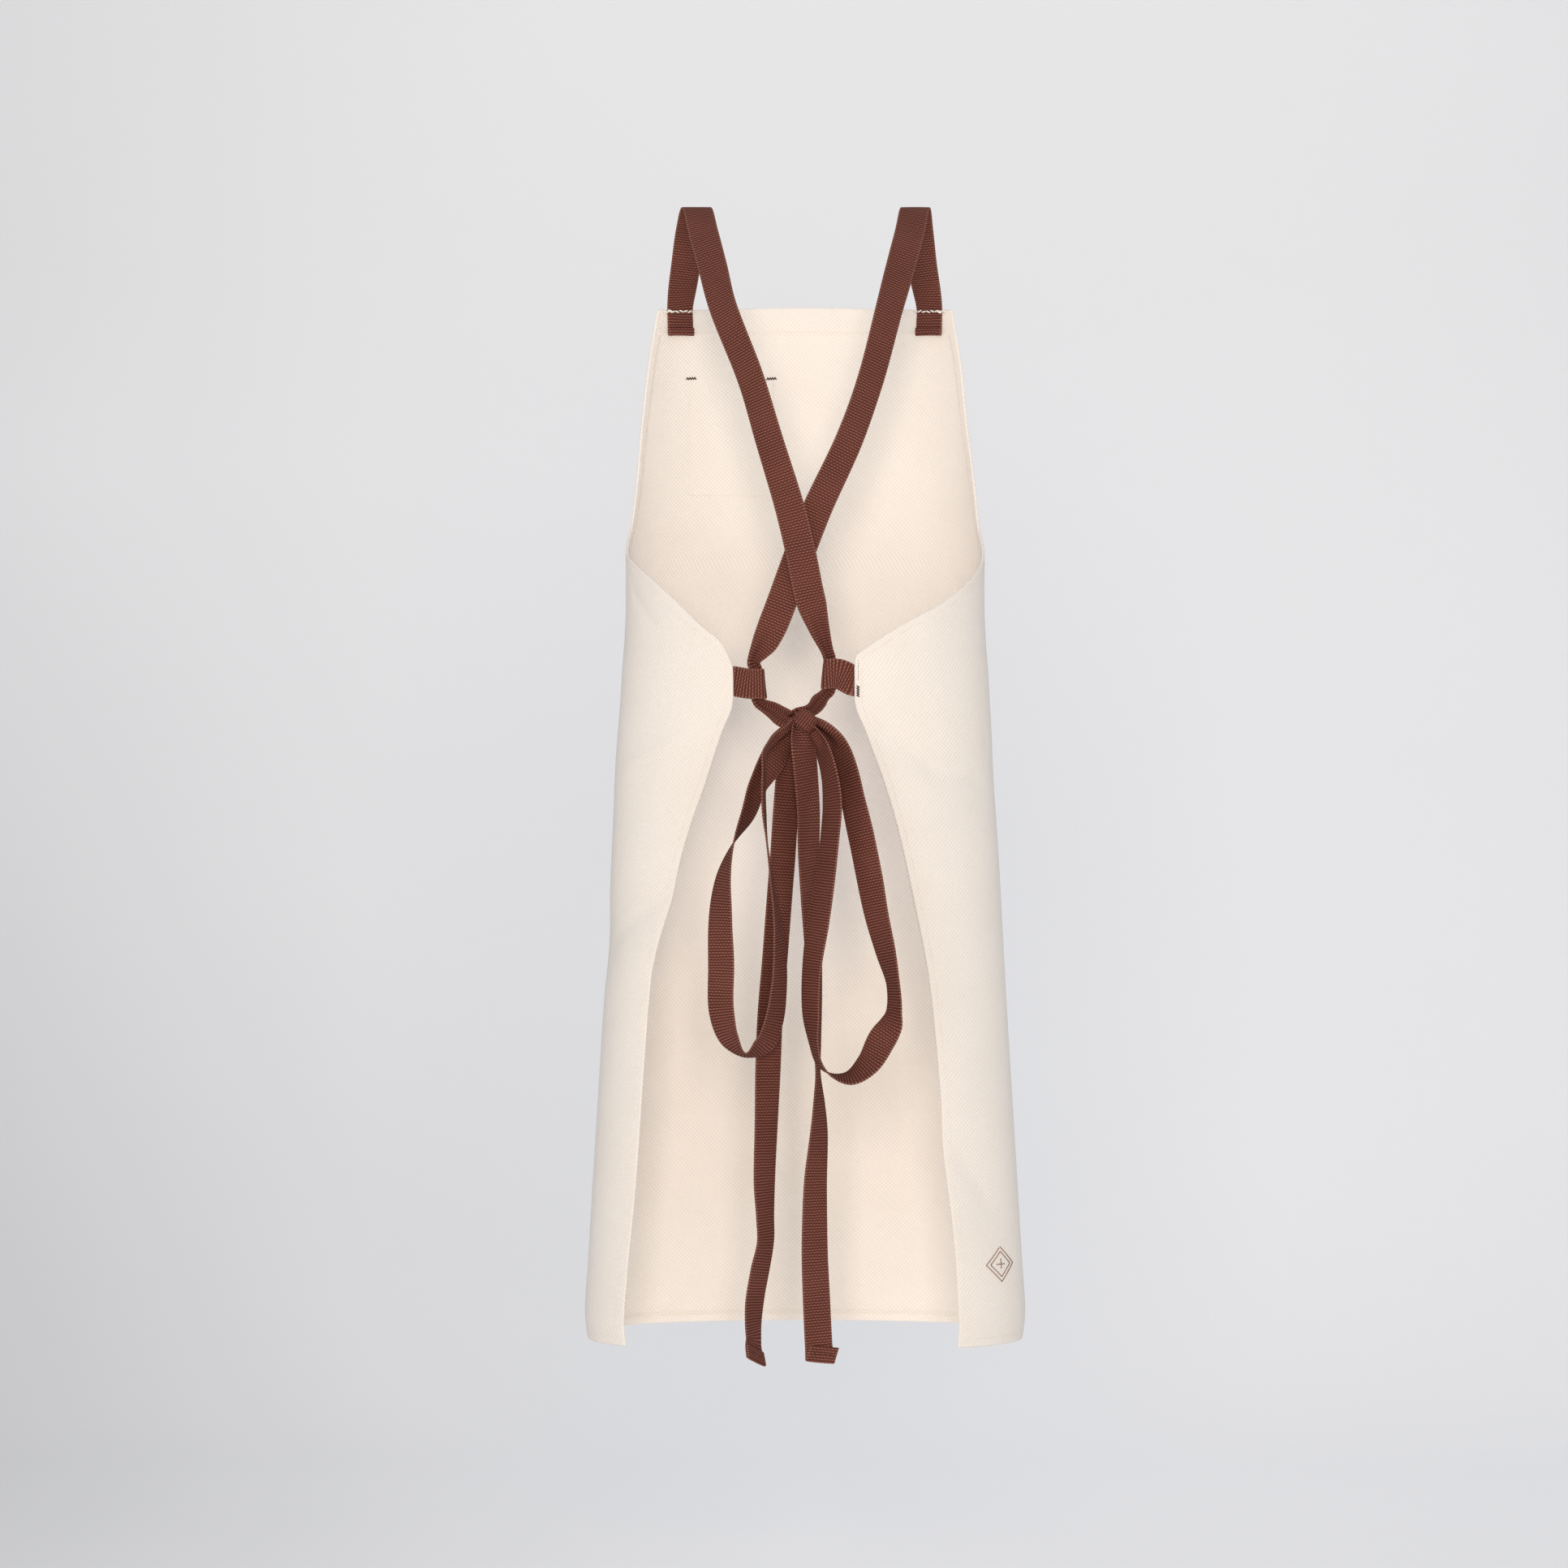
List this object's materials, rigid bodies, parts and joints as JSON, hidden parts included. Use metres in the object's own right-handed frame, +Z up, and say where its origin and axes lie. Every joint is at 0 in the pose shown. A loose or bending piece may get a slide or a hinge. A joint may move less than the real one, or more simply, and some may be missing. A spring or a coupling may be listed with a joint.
{
  "type": "canvas bib apron with cross-back webbing straps",
  "caption": "Bib apron of pale canvas in its worn form, with a chest pocket and brown webbing straps that cross at the back, pass through side loops and tie in a bow.",
  "frame": {"origin": "midway between the tops of the two shoulder straps, where the apron hangs on the shoulders", "axes": "+Z up, +Y to the wearer's front and the bib, -Y to the wearer's back and the bow, +X to the right of the back view"},
  "size_m": [0.374, 0.2699, 0.9748],
  "materials": {
    "canvas": "heavy unbleached cotton canvas",
    "webbing": "brown ribbed cotton webbing"
  },
  "bodies": {
    "root": {"apron_panel": "canvas", "chest_pocket": "canvas", "shoulder_strap_left": "webbing", "shoulder_strap_right": "webbing", "side_loop_left": "webbing", "side_loop_right": "webbing", "bow_knot": "webbing", "bow_loop_left": "webbing", "bow_loop_right": "webbing", "tie_tail_left": "webbing", "tie_tail_right": "webbing"}
  },
  "joints": []
}
